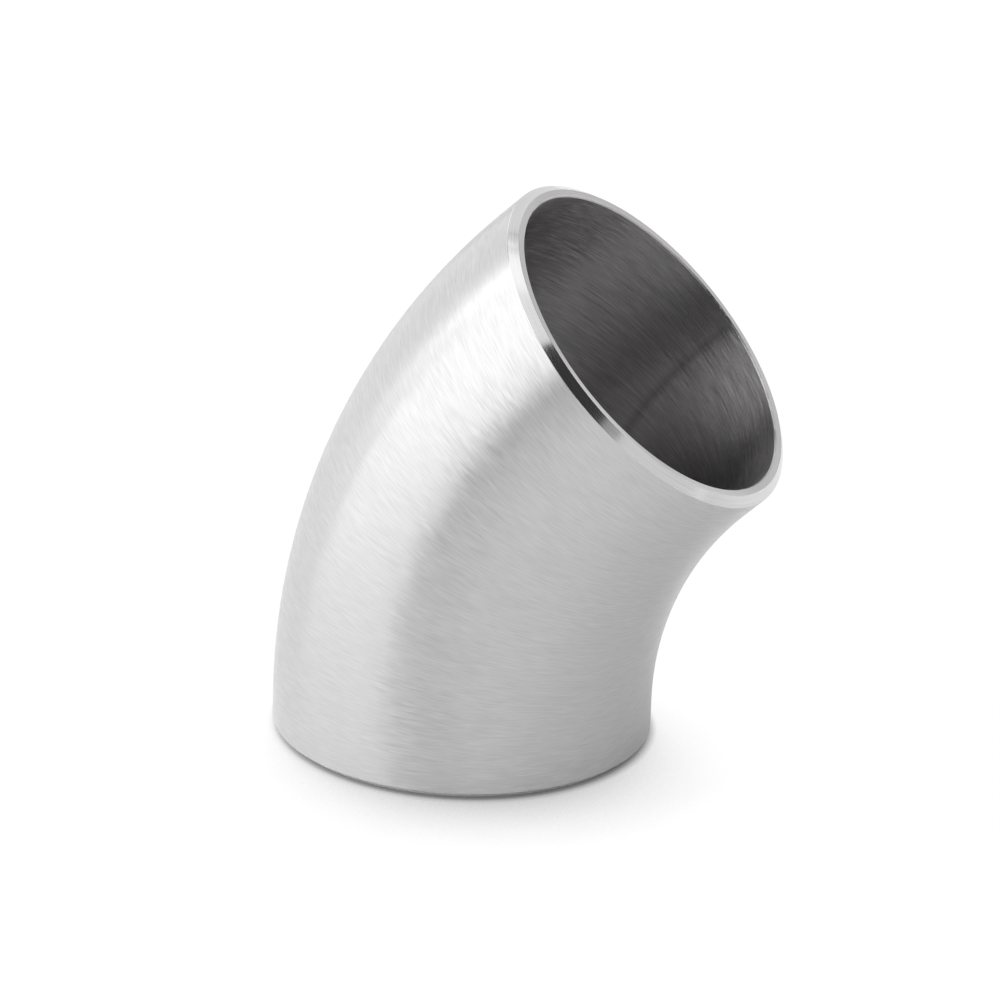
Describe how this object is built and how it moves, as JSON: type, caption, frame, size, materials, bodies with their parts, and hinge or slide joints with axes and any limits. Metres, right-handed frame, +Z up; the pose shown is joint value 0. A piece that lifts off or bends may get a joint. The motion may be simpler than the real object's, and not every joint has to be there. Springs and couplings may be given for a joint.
{
  "type": "forty-five degree elbow",
  "caption": "Stainless butt-weld pipe elbow that turns a pipeline through forty-five degrees, bevelled for welding at both ends.",
  "frame": {"origin": "centre of the lower end's root face, on the axis of the lower end", "axes": "+Z up along the lower end's axis, +X towards the side the elbow bends to, bend in the XZ plane"},
  "size_m": [0.1424, 0.108, 0.1613],
  "materials": {
    "brushed_stainless": "brushed around the section"
  },
  "bodies": {
    "root": {"elbow": "brushed_stainless"}
  },
  "joints": []
}
